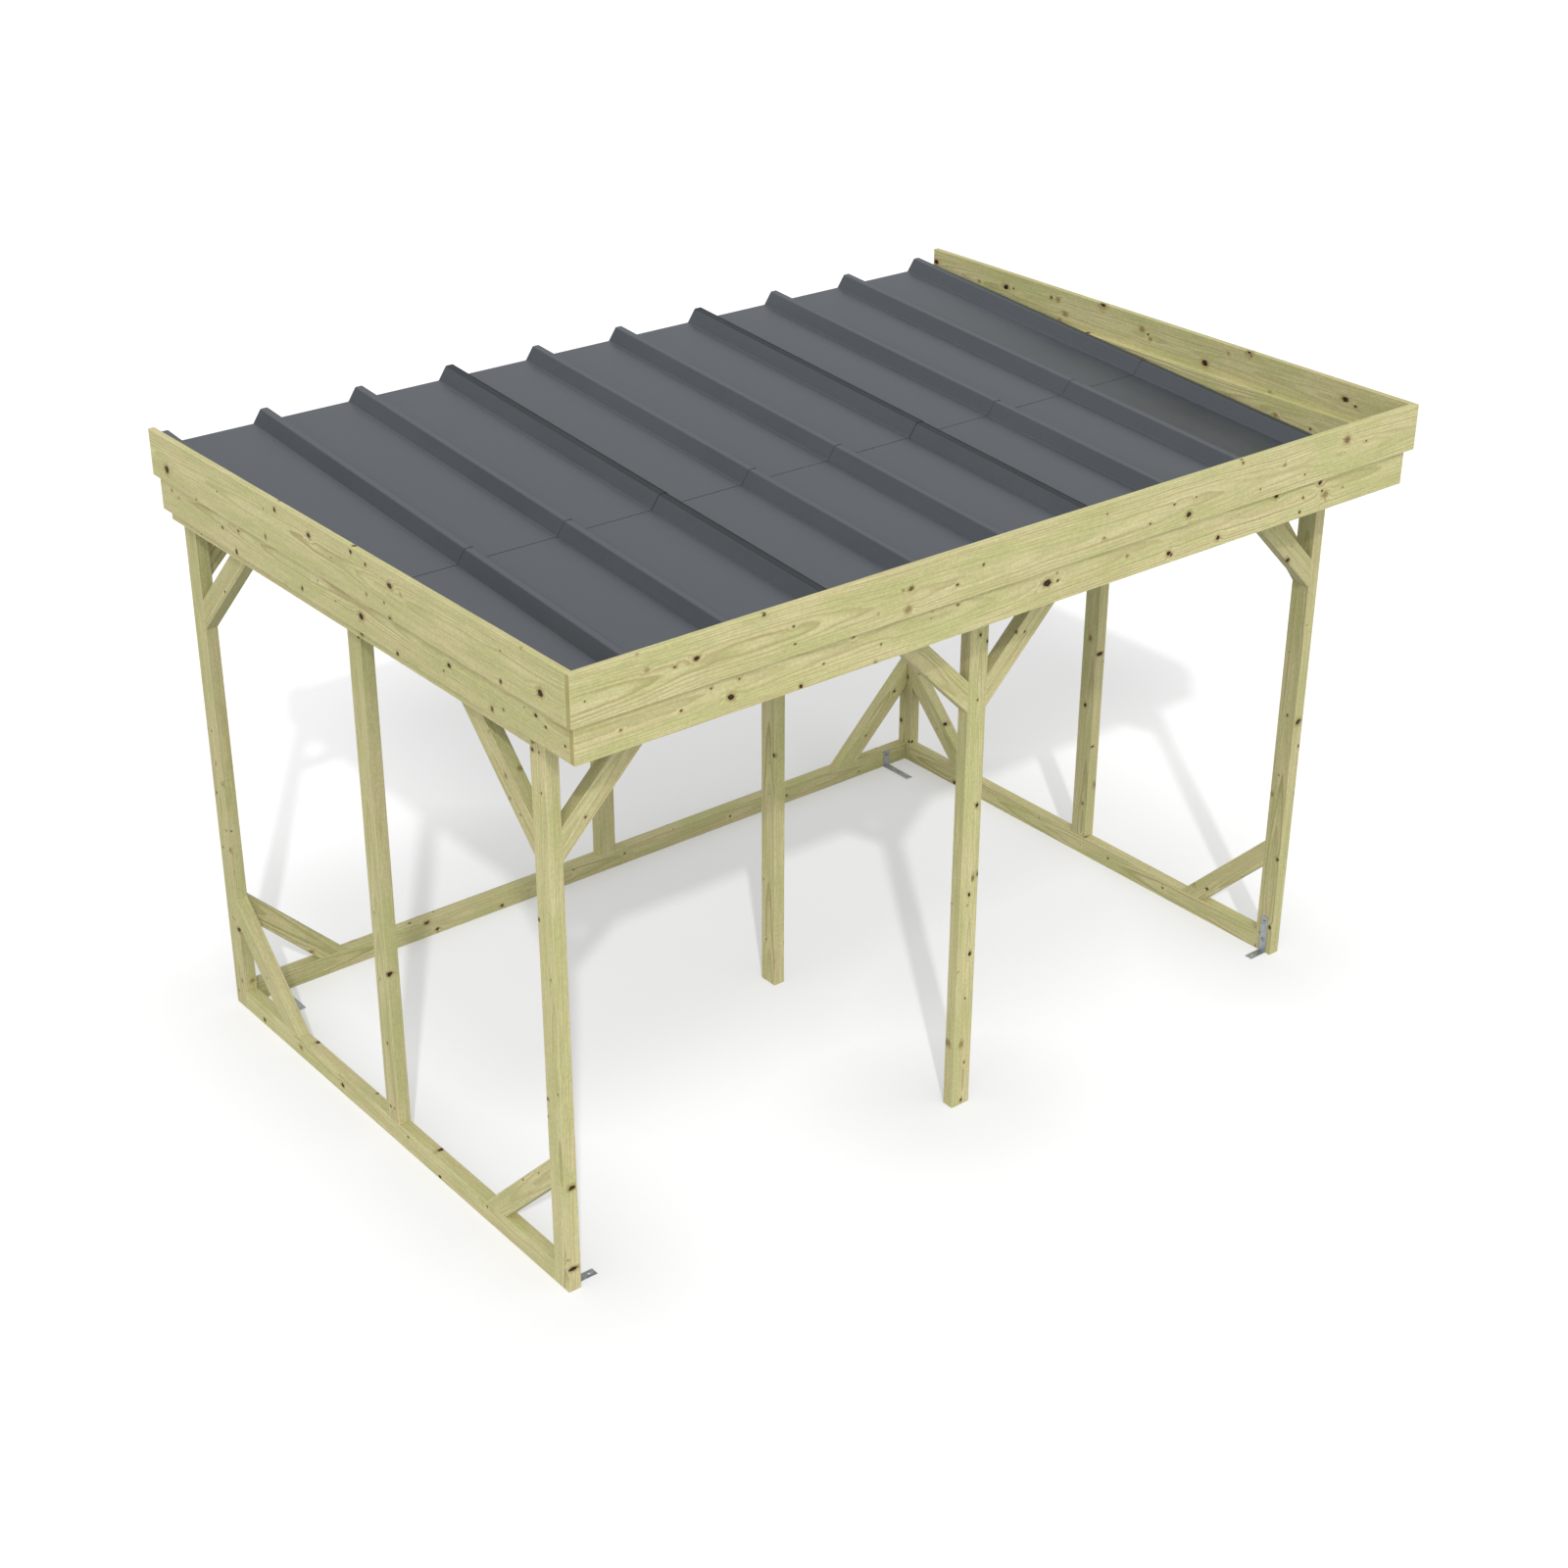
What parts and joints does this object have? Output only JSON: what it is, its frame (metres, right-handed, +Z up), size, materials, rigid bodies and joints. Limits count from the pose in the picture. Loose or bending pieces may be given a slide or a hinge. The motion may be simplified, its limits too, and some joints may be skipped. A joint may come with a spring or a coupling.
{
  "type": "lean-to firewood shelter",
  "caption": "Open timber lean-to for stacking firewood: posts on ground sills, mitred corner braces, a lapped board fascia and a ribbed steel roof falling to the front.",
  "frame": {"origin": "on the ground, under the middle of the whole outline", "axes": "+X along the open front, to the right seen from the front; +Y towards the back; +Z up"},
  "size_m": [3.139, 2.242, 2.038],
  "materials": {
    "frame_wood": "planed pressure-treated pine, satin",
    "board_wood": "planed pressure-treated pine board, satin",
    "roof_steel": "dark grey coated steel sheet, satin",
    "zinc_steel": "hot-dip galvanised steel, dull"
  },
  "bodies": {
    "root": {"post_front_left": "frame_wood", "post_front_middle": "frame_wood", "post_front_right": "frame_wood", "post_side_left": "frame_wood", "post_centre": "frame_wood", "post_side_right": "frame_wood", "post_back_left": "frame_wood", "post_back_middle": "frame_wood", "post_back_right": "frame_wood", "sill_left": "frame_wood", "sill_back": "frame_wood", "sill_right": "frame_wood", "foot_braces_left": "frame_wood", "foot_braces_back": "frame_wood", "foot_braces_right": "frame_wood", "knee_front_left": "frame_wood", "knee_front_middle_left": "frame_wood", "knee_front_middle_right": "frame_wood", "knee_front_right": "frame_wood", "knee_braces_back": "frame_wood", "knee_left_front": "frame_wood", "knee_left_back": "frame_wood", "knee_right_front": "frame_wood", "knee_right_back": "frame_wood", "rail_left": "frame_wood", "rail_right": "frame_wood", "purlin_front": "frame_wood", "purlin_middle": "frame_wood", "purlin_back": "frame_wood", "fascia_front_upper": "board_wood", "fascia_front_lower": "board_wood", "fascia_left_upper": "board_wood", "fascia_left_lower": "board_wood", "fascia_right_upper": "board_wood", "fascia_right_lower": "board_wood", "roof_sheet_front_left": "roof_steel", "roof_sheet_front_middle": "roof_steel", "roof_sheet_front_right": "roof_steel", "roof_sheet_back_left": "roof_steel", "roof_sheet_back_middle": "roof_steel", "roof_sheet_back_right": "roof_steel", "bracket_front_left": "zinc_steel", "bracket_front_right": "zinc_steel", "bracket_back_left": "zinc_steel", "bracket_back_right": "zinc_steel"}
  },
  "joints": []
}
